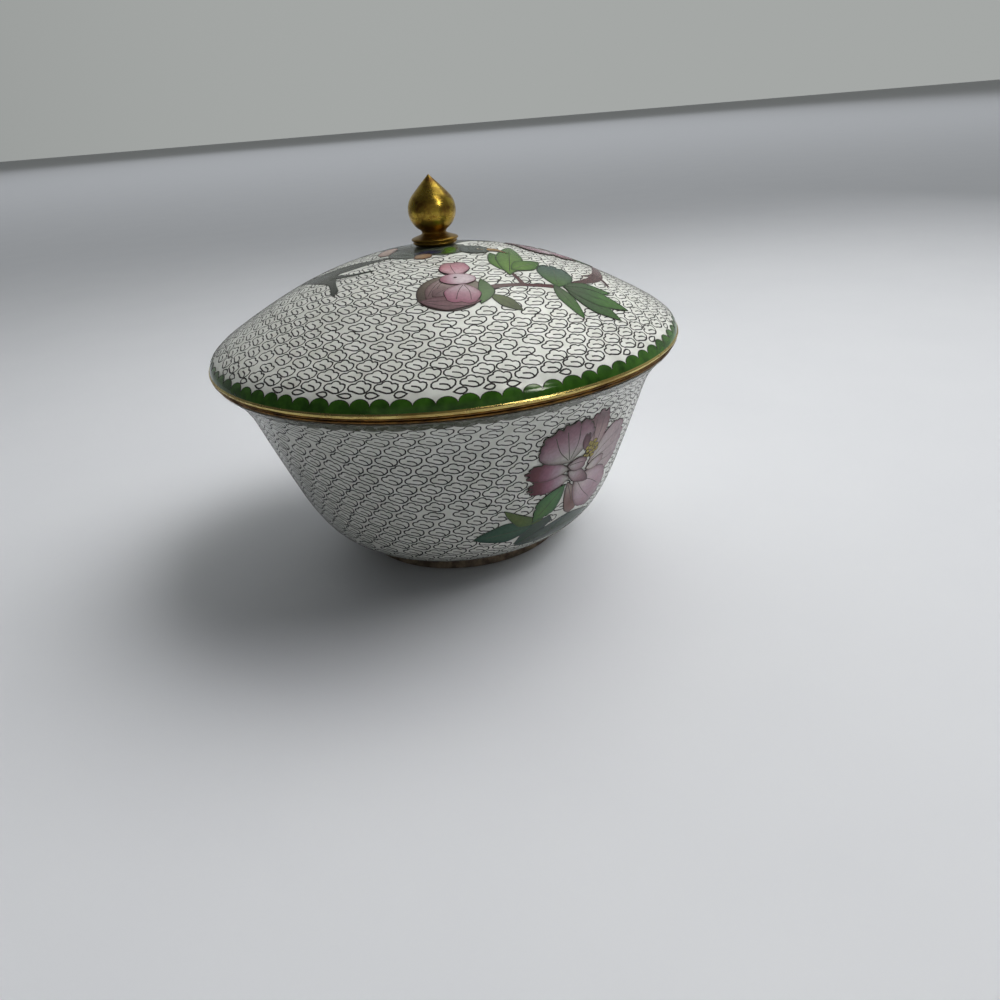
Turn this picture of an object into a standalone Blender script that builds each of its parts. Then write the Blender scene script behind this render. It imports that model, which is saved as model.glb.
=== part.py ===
"""Cloisonne lidded bowl: enamelled copper bowl and domed lid with gilt brass rims, foot and finial.

Metres, +Z up.  The origin is the middle of the foot's underside, and +Z is the axis that every
piece was turned about.
"""

import math

import bmesh
import bpy

MM = 0.001

# ---- driving dimensions, in millimetres and degrees ----
GAP = 0.3                 # clearance between pieces that touch
WALL = 2.0                # copper with its enamel, inside and out
FOOT_RADIUS = 36.2        # outside of the foot ring, on the table
FOOT_HEIGHT = 3.6
FOOT_WIDTH = 2.8
FOOT_TAPER = 0.5          # the ring leans in by this much at its top
BOWL_TOP = 66.0           # height of the bowl's enamelled edge
BOWL_RIM_RADIUS = 74.5
BOWL_RIM_HEIGHT = 0.9
BOWL_RIM_BORE = 70.9
LID_RIM_RADIUS = 75.7
LID_RIM_HEIGHT = 1.4
LID_APEX = 97.5           # top of the dome, under the finial
FLANGE_RADIUS = 68.6      # the lid's locating flange drops inside the bowl's mouth
FLANGE_WIDTH = 1.4
FLANGE_DEPTH = 3.3
WEB_HEIGHT = 0.8          # thin web between the lid's rim and its flange
WEB_RADIUS = 71.5
FINIAL_TIP = 118.0
COLLAR_RADIUS = 6.8       # lower plate of the finial's stepped collar
COLLAR_PLATE = 0.7

# Outlines are chains of tangent arcs, each given as (length, turn); a turn to the left is positive.
BOWL_START = (35.6, FOOT_HEIGHT + GAP)
BOWL_HEADING = 14
BOWL_ARCS = [(20.3, 47), (12.0, 9), (27.8, 1.8), (15.8, -32)]      # belly, side, flare, lip
LID_ARCS = [(28.1, -14.8), (23.4, -10.8), (22.2, -5.4), (5.2, -13), (3.4, -36)]
FINIAL_HEADING = -43
FINIAL_ARCS = [(7.9, -4), (5.3, -45), (6.4, -56), (2.5, 126), (2.2, 2), (1.25, -150), (0.5, 0)]

SEGMENTS = 48             # around the bowl, the lid and their rims
FINIAL_SEGMENTS = 28


def trace(start, heading, arcs, longest, sharpest=8):
    """Points along a chain of tangent arcs; no chord is longer, or turns more, than the limits."""
    x, z = start
    angle = math.radians(heading)
    points = [start]
    for length, turn in arcs:
        count = math.ceil(max(length / longest, abs(turn) / sharpest))
        bend = math.radians(turn) / count
        chord = length / count
        if bend:
            chord *= math.sin(bend / 2) / (bend / 2)
        for _ in range(count):
            x += chord * math.cos(angle + bend / 2)
            z += chord * math.sin(angle + bend / 2)
            angle += bend
            points.append((x, z))
    return points


def inset(outline, distance):
    """The outline moved to its right by a distance, or to its left if that is negative."""
    moved = []
    for i, (x, z) in enumerate(outline):
        before = outline[max(i - 1, 0)]
        after = outline[min(i + 1, len(outline) - 1)]
        dx, dz = after[0] - before[0], after[1] - before[1]
        size = math.hypot(dx, dz)
        moved.append((x + distance * dz / size, z - distance * dx / size))
    return moved


def ended_at(outline, height):
    """The outline up to where it first crosses a height, ended exactly on it."""
    kept = [outline[0]]
    for (x0, z0), (x1, z1) in zip(outline, outline[1:]):
        if (z0 - height) * (z1 - height) <= 0:
            kept.append((x0 + (x1 - x0) * (height - z0) / (z1 - z0), height))
            break
        kept.append((x1, z1))
    return kept


def bead(x, low, high, bulge):
    """A rounded outer edge, from low to high, standing proud of x by its bulge."""
    middle, half = (low + high) / 2, (high - low) / 2
    turns = [math.radians(a) for a in (-90, -50, 0, 50, 90)]
    return [(x + bulge * math.cos(a), middle + half * math.sin(a)) for a in turns]


def material(name, colour, metallic, roughness):
    made = bpy.data.materials.new(name)
    made.use_nodes = True
    shader = made.node_tree.nodes["Principled BSDF"]
    shader.inputs["Base Color"].default_value = (*colour, 1)
    shader.inputs["Metallic"].default_value = metallic
    shader.inputs["Roughness"].default_value = roughness
    made.diffuse_color = (*colour, 1)
    return made


def turned(name, outline, segments, finish):
    """A closed outline in X and Z, in millimetres, turned about the axis into one solid."""
    bm = bmesh.new()
    verts = [bm.verts.new((x * MM, 0, z * MM)) for x, z in outline]
    ring = list(zip(verts, verts[1:] + verts[:1]))
    on_axis = 1e-9
    edges = [bm.edges.new(pair) for pair in ring if max(v.co.x for v in pair) > on_axis]
    bmesh.ops.spin(bm, geom=verts + edges, cent=(0, 0, 0), axis=(0, 0, 1), dvec=(0, 0, 0),
                   angle=2 * math.pi, steps=segments, use_merge=True)
    bmesh.ops.remove_doubles(bm, verts=bm.verts, dist=1e-6)
    bmesh.ops.recalc_face_normals(bm, faces=bm.faces)
    mesh = bpy.data.meshes.new(name)
    bm.to_mesh(mesh)
    bm.free()
    mesh.shade_smooth()
    mesh.set_sharp_from_angle(angle=math.radians(35))
    made = bpy.data.objects.new(name, mesh)
    made.data.materials.append(finish)
    bpy.context.scene.collection.objects.link(made)
    return made


def make_foot(brass):
    inner = FOOT_RADIUS - FOOT_WIDTH
    outline = [(inner, 0), (FOOT_RADIUS, 0), (FOOT_RADIUS - FOOT_TAPER, FOOT_HEIGHT), (inner, FOOT_HEIGHT)]
    turned("foot_ring", outline, SEGMENTS, brass)


def make_bowl(enamel):
    """A hollow shell: flat base, rounded belly, flared side and a lip that opens out."""
    outer = trace(BOWL_START, BOWL_HEADING, BOWL_ARCS, longest=10)
    floor = BOWL_START[1] + WALL
    inner = ended_at(inset(outer, -WALL), BOWL_TOP)
    inner = [point for point in inner if point[1] > floor]
    outer[-1] = (outer[-1][0], BOWL_TOP)
    outline = [(0, BOWL_START[1])] + outer + inner[::-1] + [(0, floor)]
    turned("bowl_body", outline, SEGMENTS, enamel)


def make_bowl_rim(gilt):
    low = BOWL_TOP + GAP
    high = low + BOWL_RIM_HEIGHT
    edge = bead(BOWL_RIM_RADIUS - 0.4, low, high, 0.4)
    turned("bowl_rim", [(BOWL_RIM_BORE, low)] + edge + [(BOWL_RIM_BORE, high)], SEGMENTS, gilt)
    return high


def make_lid_rim(gilt, rest):
    """The lid's edge band, with a thin web and a flange that keeps it centred in the mouth."""
    low = rest + GAP
    high = low + LID_RIM_HEIGHT
    flange = FLANGE_RADIUS - FLANGE_WIDTH
    outline = [(FLANGE_RADIUS, low - FLANGE_DEPTH), (FLANGE_RADIUS, low)]
    outline += bead(LID_RIM_RADIUS - 0.5, low, high, 0.5)
    outline += [(WEB_RADIUS, high), (WEB_RADIUS, low + WEB_HEIGHT)]
    outline += [(flange, low + WEB_HEIGHT), (flange, low - FLANGE_DEPTH)]
    turned("lid_rim", outline, SEGMENTS, gilt)
    return high


def make_lid(enamel, rest):
    """The domed shell, open below, ended flat just above its rim."""
    low = rest + GAP
    outer = trace((0, LID_APEX), 0, LID_ARCS, longest=10)
    inner = inset(outer, WALL)
    inner[0] = (0, LID_APEX - WALL)
    inner = ended_at(inner, low)
    outer[-1] = (outer[-1][0], low)
    turned("lid_shell", outer + inner[::-1], SEGMENTS, enamel)


def make_finial(brass):
    """A pointed lotus bud on a short neck and a collar of two plates."""
    bud = trace((0, FINIAL_TIP), FINIAL_HEADING, FINIAL_ARCS, longest=8, sharpest=20)
    base = LID_APEX + GAP
    low = base + COLLAR_PLATE
    plate = bead(COLLAR_RADIUS - 0.3, base, low, 0.3)[::-1]
    turned("finial", bud + [(bud[-1][0], low)] + plate + [(0, base)], FINIAL_SEGMENTS, brass)


def main():
    for old in list(bpy.data.objects):
        bpy.data.objects.remove(old, do_unlink=True)
    enamel = material("cloisonne enamel on copper", (0.72, 0.72, 0.69), 0.0, 0.15)
    lid_enamel = material("cloisonne enamel on copper, lid", (0.78, 0.78, 0.75), 0.0, 0.15)
    gilt = material("gilt brass rim", (0.55, 0.38, 0.13), 1.0, 0.3)
    lid_gilt = material("gilt brass lid rim", (0.60, 0.43, 0.16), 1.0, 0.28)
    foot_brass = material("darkened brass foot", (0.20, 0.13, 0.07), 1.0, 0.45)
    bud_brass = material("satin brass finial", (0.50, 0.33, 0.10), 1.0, 0.3)
    make_foot(foot_brass)
    make_bowl(enamel)
    mouth = make_bowl_rim(gilt)
    lid_foot = make_lid_rim(lid_gilt, mouth)
    make_lid(lid_enamel, lid_foot)
    make_finial(bud_brass)


main()
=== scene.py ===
import dataclasses
import math
import random

import bmesh
import bpy
from mathutils import Matrix, Vector
from mathutils.geometry import interpolate_bezier


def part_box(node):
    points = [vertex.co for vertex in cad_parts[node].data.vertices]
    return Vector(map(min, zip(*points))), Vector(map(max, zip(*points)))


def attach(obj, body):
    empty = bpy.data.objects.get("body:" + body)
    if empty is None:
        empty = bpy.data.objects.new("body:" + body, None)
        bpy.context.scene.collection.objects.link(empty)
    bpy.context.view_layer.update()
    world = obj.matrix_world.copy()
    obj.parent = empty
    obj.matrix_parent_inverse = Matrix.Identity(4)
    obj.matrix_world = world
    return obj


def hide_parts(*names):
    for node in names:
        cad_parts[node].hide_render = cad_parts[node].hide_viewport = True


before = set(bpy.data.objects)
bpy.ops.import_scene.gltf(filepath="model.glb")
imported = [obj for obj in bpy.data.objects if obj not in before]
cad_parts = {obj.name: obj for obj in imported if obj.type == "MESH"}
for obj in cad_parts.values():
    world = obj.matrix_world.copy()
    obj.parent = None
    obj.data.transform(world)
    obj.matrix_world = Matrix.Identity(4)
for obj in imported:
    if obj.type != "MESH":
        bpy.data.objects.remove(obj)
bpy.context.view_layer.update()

MM = 0.001
UP = Vector((0, 0, 1))
FULL = 2 * math.pi


# ---------------------------------------------------------------- sizes, in millimetres

def corners(node):
    """A node's lowest and highest corner, in millimetres."""
    low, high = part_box(node)
    return low / MM, high / MM


BOWL_LOW, BOWL_TOP = corners("bowl_body")
LID_LOW, LID_TOP = corners("lid_shell")
KNOB_LOW, KNOB_TOP = corners("finial")
WALL = 2.0

# a face starts at a radius with a heading in degrees, and runs through arcs of a length and a turn in degrees
BOWL_START, BOWL_HEADING = 35.6, 14
BOWL_ARCS = ((20.3, 47), (12.0, 9), (27.8, 1.8), (15.8, -32))
LID_ARCS = ((28.1, -14.8), (23.4, -10.8), (22.2, -5.4), (5.2, -13), (3.4, -36))
KNOB_HEADING = -43
KNOB_ARCS = ((7.9, -4), (5.3, -45), (6.4, -56), (1.15, 58))
SHELL_SIDES, RIM_SIDES, FOOT_SIDES, KNOB_SIDES = 288, 256, 192, 96

# the clouds of a row are a pitch apart. Rows: the first one's and the last one's distance along the face, and
# their spacing. Cloud: half its width and half its height
CLOUD_PITCH = 7.05
BOWL_ROWS = (70.0, 5.0, 3.62)
LID_ROWS = (75.0, 8.8, 3.5)
BOWL_CLOUD = (3.08, 3.45)
LID_CLOUD = (3.05, 3.5)
LID_DROPS = 77.35

# a border starts an inset from the shell's edge: how far its cusps and its crests lie in, and how many lobes
BORDER_INSET = 0.1
LID_BORDER = (1.7, 3.7, 85)
BOWL_BORDER = (2.5, 3.8, 76)
LID_BORDER_HALF = 0.15
BOWL_BORDER_HALF = 0.19

# a ground wire's half-width, how far its ridge stands proud, and how far its edges lie in the glass. A
# picture's wires lie between pools, so their edges go deeper
WIRE_HALF = 0.26
WIRE_RISE = 0.045
WIRE_SINK = 0.012
POOL_SINK = 0.04
# the wire round a pool lies this much lower than the wires that cross it
POOL_WIRE_DROP = 0.015

# how far the pools stand proud of the ground, one layer over another, and how far their skirts go into it
GLASS_RISE = 0.06
LAYER_RISE = 0.045
POOL_SKIRT = -0.05
BORDER_SKIRT = -0.06
# the pools are cut into squares of this size, so that their colours can be shaded from corner to corner
POOL_GRID = 0.7

# the bowl's drawings are flat at this radius
UNROLLED = 60.0


class Skin:
    """The outer face of a shell: arcs laid end to end in the plane of radius and height, turned about Z."""

    def __init__(self, start, heading, arcs, side):
        self.arcs, self.side, self.length = [], side, 0.0
        radius, height = start
        turned = math.radians(heading)
        for length, turn in arcs:
            bend = math.radians(turn) / length
            self.arcs.append((self.length, radius, height, turned, bend))
            radius += (math.sin(turned + bend * length) - math.sin(turned)) / bend
            height -= (math.cos(turned + bend * length) - math.cos(turned)) / bend
            turned += bend * length
            self.length += length

    def at(self, along):
        """Radius, height and heading at a distance along the face."""
        begun, radius, height, heading, bend = next(
            arc for arc in reversed(self.arcs) if arc[0] <= max(along, 0.0)
        )
        run = bend * (along - begun)
        radius += (math.sin(heading + run) - math.sin(heading)) / bend
        height -= (math.cos(heading + run) - math.cos(heading)) / bend
        return radius, height, heading + run

    def section(self, along, lift=0.0):
        """Radius and height at a distance along the face, lifted off it."""
        radius, height, heading = self.at(along)
        return (
            radius - self.side * lift * math.sin(heading),
            height + self.side * lift * math.cos(heading),
        )

    def place(self, azimuth, along, lift=0.0):
        """A place in metres, from a turn about Z, a distance along the face and a lift off it."""
        radius, height = self.section(along, lift)
        return Vector((radius * math.cos(azimuth), radius * math.sin(azimuth), height)) * MM

    def out(self, azimuth, along):
        """The direction straight out of the face."""
        heading = self.at(along)[2]
        level = -self.side * math.sin(heading)
        return Vector((level * math.cos(azimuth), level * math.sin(azimuth), self.side * math.cos(heading)))


BOWL = Skin((BOWL_START, BOWL_LOW.z), BOWL_HEADING, BOWL_ARCS, -1)
LID = Skin((0, LID_TOP.z), 0, LID_ARCS, 1)
KNOB = Skin((0, KNOB_TOP.z), KNOB_HEADING, KNOB_ARCS, 1)


class LidSheet:
    """The lid's drawing: flat about the knob, as seen from above with the front at the bottom."""

    def on(self, x, y):
        """Azimuth and distance along the face, from a flat point."""
        return math.atan2(y, x), math.hypot(x, y)

    def off(self, azimuth, along):
        """The flat point of an azimuth and a distance along the face."""
        return along * math.cos(azimuth), along * math.sin(azimuth)


class BowlSheet:
    """A drawing on the bowl: flat about its own heart, as seen from outside."""

    def __init__(self, azimuth, along):
        self.azimuth, self.along = math.radians(azimuth), along

    def on(self, x, y):
        return self.azimuth + x / UNROLLED, self.along + y

    def off(self, azimuth, along):
        turn = (azimuth - self.azimuth + math.pi) % FULL - math.pi
        return turn * UNROLLED, along - self.along


# how far along the bowl's face the middle of each of its two drawings lies
HEART_ALONG = 48.45
LID_SHEET = LidSheet()
PEONY_SHEET = BowlSheet(-59.9, HEART_ALONG)
SPRIG_SHEET = BowlSheet(120, HEART_ALONG)


# ---------------------------------------------------------------- materials

def colour(code):
    """A hex colour as linear red, green, blue and alpha."""
    parts = (int(code[i:i + 2], 16) / 255 for i in (1, 3, 5))
    return (*(p / 12.92 if p <= 0.04045 else ((p + 0.055) / 1.055) ** 2.4 for p in parts), 1.0)


def per(mm):
    """A pattern scale that gives one feature every so many millimetres."""
    return 1 / (mm * MM)


def add(tree, kind, inputs=None, **settings):
    """Adds one node. Settings are its properties. Inputs are its sockets: each takes a number, a colour, a
    socket, or a node, which stands for its first socket."""
    node = tree.nodes.new("ShaderNode" + kind)
    for name, value in settings.items():
        setattr(node, name, value)
    for name, value in (inputs or {}).items():
        if isinstance(value, bpy.types.Node):
            value = value.outputs[0]
        if isinstance(value, bpy.types.NodeSocket):
            tree.links.new(value, node.inputs[name])
        else:
            node.inputs[name].default_value = value
    return node


def new_finish(name):
    """An empty material and its node tree."""
    finish = bpy.data.materials.new(name)
    finish.use_nodes = True
    finish.node_tree.nodes.clear()
    return finish, finish.node_tree


def surface(tree, sockets):
    """Ends a material: its shader, with what its sockets take, and its output."""
    add(tree, "OutputMaterial", {"Surface": add(tree, "BsdfPrincipled", sockets)})


def glass(name, body=None, fleck=None, sheen=0.16, wave=0.03, shine=0.5):
    """Soft glass, fired between the wires and stoned flat: a wet shine over faint waves, with a few pits.
    Without a body colour, each pool keeps the colours that it was fired in."""
    finish, tree = new_finish(name)
    place = add(tree, "TexCoord").outputs["Object"]
    if body:
        # its two powders have settled in clouds 4 mm across
        cloud = add(tree, "TexNoise", {"Vector": place, "Scale": per(4.0), "Detail": 3.0, "Roughness": 0.55})
        share = add(tree, "MapRange", {"Value": cloud, "From Min": 0.35, "From Max": 0.7})
        tone = add(tree, "Mix", {0: share, 6: colour(body), 7: colour(fleck)}, data_type="RGBA").outputs[2]
    else:
        # grains of powder are 0.1 mm, and drawn 0.9 mm wide so that they show
        fired = add(tree, "Attribute", attribute_name="fired")
        grain = add(tree, "TexNoise", {"Vector": place, "Scale": per(0.9), "Detail": 3.0, "Roughness": 0.55})
        depth = add(
            tree, "MapRange",
            {"Value": grain, "From Min": 0.3, "From Max": 0.75, "To Min": 0.86, "To Max": 1.12},
        )
        tone = add(
            tree, "Mix", {0: 1.0, 6: fired, 7: depth}, data_type="RGBA", blend_type="MULTIPLY",
        ).outputs[2]
    # pits are 0.1 mm in the real glass, one every 5 mm or so, and drawn up to 0.5 mm wide so that they show
    speck = add(tree, "TexVoronoi", {"Vector": place, "Scale": per(5.0), "Randomness": 1.0})
    pit = add(
        tree, "MapRange",
        {"Value": speck, "From Min": 0.02, "From Max": 0.05, "To Min": 0.4, "To Max": 0.0},
    )
    gloss = add(tree, "TexNoise", {"Vector": place, "Scale": per(2.5), "Detail": 3.0, "Roughness": 0.55})
    swell = add(tree, "TexNoise", {"Vector": place, "Scale": per(7.0), "Detail": 1.0, "Roughness": 0.55})
    waves = add(tree, "Bump", {"Height": swell, "Strength": 0.35, "Distance": wave * MM})
    dimples = add(tree, "Bump", {"Height": pit, "Normal": waves, "Strength": 0.4, "Distance": -0.05 * MM})
    surface(tree, {
        "Base Color": add(tree, "Mix", {0: pit, 6: tone, 7: colour("#4a4034")}, data_type="RGBA").outputs[2],
        "Roughness": add(tree, "MapRange", {"Value": gloss, "To Min": sheen * 0.7, "To Max": sheen * 1.5}),
        "Normal": dimples,
        "IOR": 1.52,
        "Specular IOR Level": shine,
    })
    return finish


def metal(name, bright, dull, rough, patch, worn=0.5, bare=1.0, turned=False):
    """Gilt or bare copper alloy, brighter and duller in random patches of wear and tarnish. A turned knob is
    also painted darker and browner towards its neck, as painted shade.
    Patch is the width of such a place in millimetres, and bare is how much of the metal shows through."""
    finish, tree = new_finish(name)
    place = add(tree, "TexCoord").outputs["Object"]
    blotch = add(tree, "TexNoise", {"Vector": place, "Scale": per(patch), "Detail": 5.0, "Roughness": 0.65})
    dulling = add(tree, "MapRange", {"Value": blotch, "From Min": worn - 0.12, "From Max": worn + 0.14})
    if turned:
        # painted shade: from just below its widest down to the neck and plate, the knob is painted darker,
        # browner and rougher
        height = add(tree, "SeparateXYZ", {"Vector": place}).outputs["Z"]
        shade_starts, brown = (KNOB_TOP.z - 9.0) * MM, (KNOB_TOP.z - 15.5) * MM
        painted_neck_shade = add(
            tree, "MapRange",
            {"Value": height, "From Min": shade_starts, "From Max": brown, "To Max": 0.8},
        )
        dulling = add(tree, "Math", {0: dulling, 1: painted_neck_shade}, operation="MAXIMUM")
        # turning lines are 0.05 mm apart in the real knob, and drawn 0.35 mm apart so that they show
        stretch = add(tree, "Mapping", {"Vector": place, "Scale": (0.02, 0.02, 1.0)})
        grain = add(
            tree, "TexNoise",
            {"Vector": stretch, "Scale": per(0.35), "Detail": 2.0, "Roughness": 0.5},
        )
    else:
        # scratches and casting grain are 0.1 mm, and drawn 0.6 mm wide so that they show
        grain = add(tree, "TexNoise", {"Vector": place, "Scale": per(0.6), "Detail": 4.0, "Roughness": 0.6})
    relief = 0.025 if turned else 0.12
    tone = add(tree, "Mix", {0: dulling, 6: colour(bright), 7: colour(dull)}, data_type="RGBA").outputs[2]
    surface(tree, {
        "Base Color": tone,
        "Roughness": add(tree, "MapRange", {"Value": dulling, "To Min": rough, "To Max": min(rough * 1.9, 0.75)}),
        "Normal": add(tree, "Bump", {"Height": grain, "Strength": relief, "Distance": 0.04 * MM}),
        "Metallic": bare,
    })
    return finish


# opaque white glass gone a little grey: a soft, milky shine between the wires
WHITE_GLASS = glass("white_ground_enamel", "#e3e4dc", "#d1d2c8", shine=0.42)
# powders of several colours laid wet side by side: each petal passes softly from one into the next
SHADED_GLASS = glass("shaded_flower_enamel", sheen=0.2, shine=0.28)
# clear green glass, the glossiest of all: a deep colour that catches the lamps along the lid's edge
GREEN_GLASS = glass("green_border_enamel", "#39641a", "#223f10", sheen=0.11, shine=0.36)
# opaque glass, less polished: a quiet, mottled line below the rim. Its dull grey-olive is partly the glass's
# own dull green, partly painted shade from the lid's overhang
OLIVE_GLASS = glass("olive_border_enamel", "#5d6053", "#484b3c", sheen=0.25)
# turquoise glass left as it came from the fire: duller and wavier than the face that was stoned flat
TURQUOISE_GLASS = glass("turquoise_counter_enamel", "#4fa6a8", "#3b8f95", sheen=0.3, wave=0.08)
# copper wire blackened by the fire: it is matt, so the clouds read as thin dark lines
DARK_WIRE = metal("darkened_copper_wire", "#241d18", "#171210", 0.6, 2.0, bare=0.0)
# the borders' copper wire, black but rubbed: a dark line with a faint glint
BLACK_WIRE = metal("blackened_border_wire", "#33271a", "#1a140e", 0.5, 2.0, bare=0.2)
# copper wire tinged by the green glass: it closes a leaf without a hard black line
LEAF_WIRE = metal("darkened_leaf_wire", "#3a3d28", "#26281b", 0.55, 2.0, bare=0.2)
# copper wire browned by the fire: a warm, dull line round the pink glass
PETAL_WIRE = metal("browned_copper_wire", "#42292a", "#2b1a1a", 0.55, 2.0, bare=0.2)
# gilding on turned brass, with duller places of wear: a pale, bright band. It is the lit copy of the rims'
# gilding, and the darker copy is painted shade
GILT = metal("worn_gilt_brass", "#e4ce82", "#b4985a", 0.2, 9.0, worn=0.55)
# the same gilding, darker and browner: partly tarnish, mostly painted shade on the rims' lower and hidden
# parts, so the bright band stands out beside it
TARNISHED_SHADED_GILT = metal("gilt_brass_tarnish_and_painted_shade", "#8c6a38", "#584026", 0.32, 6.0)
# turned and polished brass: yellow streaks of light on its shoulders, and painted shade towards the neck,
# darker and browner there
BRASS_KNOB = metal("turned_brass_knob", "#d0b34a", "#7d5a28", 0.2, 4.0, worn=0.49, turned=True)
# cast brass that was never polished: grey-brown and dull, a dark line under the bowl
BRASS_FOOT = metal("dark_cast_brass", "#94836f", "#6b5e50", 0.45, 4.0, worn=0.45, bare=0.6)


# ---------------------------------------------------------------- pieces

def put(name, data):
    """A new object in the scene, at the origin."""
    made = bpy.data.objects.new(name, data)
    bpy.context.collection.objects.link(made)
    return made


def put_mesh(name, bm, finishes):
    """Turns a bmesh into an object in the scene, at the origin."""
    mesh = bpy.data.meshes.new(name)
    bm.to_mesh(mesh)
    bm.free()
    for finish in finishes:
        mesh.materials.append(finish)
    return put(name, mesh)


def piece(name, bm, finishes, node_name=None):
    """Turns a bmesh into a piece of the object, which may stand for a CAD node."""
    made = put_mesh(name, bm, finishes)
    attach(made, "root")
    if node_name:
        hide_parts(node_name)


def spun(outline, sides, closed=True):
    """Turns an outline of radius and height, in millimetres, about Z. Its sharp turns stay crisp edges."""
    bm = bmesh.new()
    verts = [bm.verts.new((radius * MM, 0, height * MM)) for radius, height in outline]
    pairs = list(zip(verts, verts[1:]))
    if closed:
        pairs.append((verts[-1], verts[0]))
    # an edge that lies on the axis would turn into nothing
    edges = [bm.edges.new(pair) for pair in pairs if max(vert.co.x for vert in pair) > 1e-9]
    bmesh.ops.spin(
        bm, geom=verts + edges, cent=(0, 0, 0), axis=(0, 0, 1),
        angle=FULL, steps=sides, use_merge=True, use_duplicate=False,
    )
    bmesh.ops.remove_doubles(bm, verts=bm.verts, dist=1e-6)
    bmesh.ops.recalc_face_normals(bm, faces=bm.faces)
    for face in bm.faces:
        face.smooth = True
    for edge in bm.edges:
        if edge.is_manifold and edge.calc_face_angle(0.0) > math.radians(35):
            edge.smooth = False
    return bm


def spread(first, last, step):
    """Evenly spaced numbers from first to last, at most a step apart."""
    count = max(1, math.ceil(abs(last - first) / step))
    return [first + (last - first) * i / count for i in range(count + 1)]


def clipped(points, low, high):
    """The part of a run of points between two heights, cut where it crosses them."""
    kept = []
    for (r0, z0), (r1, z1) in zip(points, points[1:]):
        if low <= z0 <= high:
            kept.append((r0, z0))
        for cut in sorted((low, high), key=lambda z: abs(z - z0)):
            if (z0 - cut) * (z1 - cut) < 0:
                kept.append((r0 + (r1 - r0) * (cut - z0) / (z1 - z0), cut))
    if low <= points[-1][1] <= high:
        kept.append(points[-1])
    return kept


def level_out(face):
    """The level direction from the axis to a face."""
    centre = face.calc_center_median()
    return Vector((centre.x, centre.y, 0)).normalized()


def make_shell(name, skin, low, high, node_name, floor=None):
    """An enamelled shell: the drawn face outside, the counter-enamelled face one wall inside it."""
    outer = [skin.section(along) for along in spread(0, skin.length, 1.3)]
    inner = [skin.section(along, -WALL) for along in spread(0, skin.length + 3, 2.2)]
    inner = [(max(radius, 0.0), height) for radius, height in inner]
    if floor is None:
        outline = outer + clipped(inner, low, high)[::-1]
    else:
        outline = [(0, low)] + outer + clipped(inner, floor, high)[::-1] + [(0, floor)]
    bm = spun(outline, SHELL_SIDES)
    # what looks outwards is drawn on, and so is the edge of the bowl's mouth
    for face in bm.faces:
        if floor is None:
            drawn = face.normal.z > 0.05
        else:
            at_mouth = face.calc_center_median().z / MM > high - 0.05
            drawn = at_mouth or face.normal.dot(level_out(face)) > 0.1
        face.material_index = 0 if drawn else 1
    piece(name, bm, [WHITE_GLASS, TURQUOISE_GLASS], node_name)


def grow(bm, ring):
    """Extrudes a run of edges. Gives the new edges, and each old corner with its new one."""
    grown = bmesh.ops.extrude_edge_only(bm, edges=ring)["geom"]
    fresh = {item for item in grown if isinstance(item, bmesh.types.BMVert)}
    edges = [item for item in grown if isinstance(item, bmesh.types.BMEdge) and fresh.issuperset(item.verts)]
    old = {vert for edge in ring for vert in edge.verts}
    pairs = [(vert, link.other_vert(vert)) for vert in old for link in vert.link_edges]
    return edges, [(vert, other) for vert, other in pairs if other in fresh]


def lay_wires(name, skin, wires, finish):
    """Lays wire along drawn lines: each is a low roof, its ridge proud and its edges sunk in the glass."""
    bm = bmesh.new()
    lines, sides = [], {}
    for points, closed, half, lift in wires:
        run = [bm.verts.new(skin.place(*point, lift + WIRE_RISE)) for point in points]
        pairs = list(zip(run, run[1:])) + ([(run[-1], run[0])] if closed else [])
        lines += [bm.edges.new(pair) for pair in pairs]
        depth = WIRE_RISE + WIRE_SINK + (POOL_SINK if lift > 0 else 0)
        last = len(run) - 1
        for i, (vert, point) in enumerate(zip(run, points)):
            before = run[i - 1] if closed or i else vert
            after = run[(i + 1) % len(run)] if closed or i < last else vert
            out = skin.out(*point)
            legs = (vert.co - before.co, after.co - vert.co)
            turns = [leg.cross(out).normalized() for leg in legs if leg.length > 0]
            across = sum(turns, Vector()).normalized()
            # a mitred corner is wider, up to a limit that keeps sharp ones from sticking out
            stretch = 1 / max(across.dot(turns[0]), 0.6)
            sides[vert] = (across * half * stretch * MM, out * depth * MM)
    for hand in (1, -1):
        for vert, other in grow(bm, lines)[1]:
            across, sink = sides[vert]
            other.co = vert.co + across * hand - sink
    bm.normal_update()
    # roughly outwards is enough to tell a face's right side from its wrong one
    outward, upward = (0.8, 0.6) if skin is LID else (0.9, -0.45)
    wrong = [face for face in bm.faces if face.normal.dot(level_out(face) * outward + UP * upward) < 0]
    bmesh.ops.reverse_faces(bm, faces=wrong)
    for face in bm.faces:
        face.smooth = True
    piece(name, bm, [finish])


# ---------------------------------------------------------------- drawings

def bent(points, step=0.7):
    """A smooth run through points, without its last one."""
    points = [Vector((*p, 0)) for p in points]
    padded = [points[0] * 2 - points[1], *points, points[-1] * 2 - points[-2]]
    run = []
    for a, b, c, d in zip(padded, padded[1:], padded[2:], padded[3:]):
        count = max(2, math.ceil((c - b).length / step) + 1)
        reach = (c - b).length / 3
        lead = b + (c - a).normalized() * reach
        trail = c - (d - b).normalized() * reach
        run += [(p.x, p.y) for p in interpolate_bezier(b, lead, trail, c, count)[:-1]]
    return run


def smoothed(runs, step=0.7):
    """One closed outline from runs of points. Each run is a smooth curve, and it ends in a corner."""
    outline = []
    start = runs[-1][-1]
    for run in runs:
        outline += bent([start, *run], step)
        start = run[-1]
    return outline


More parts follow.
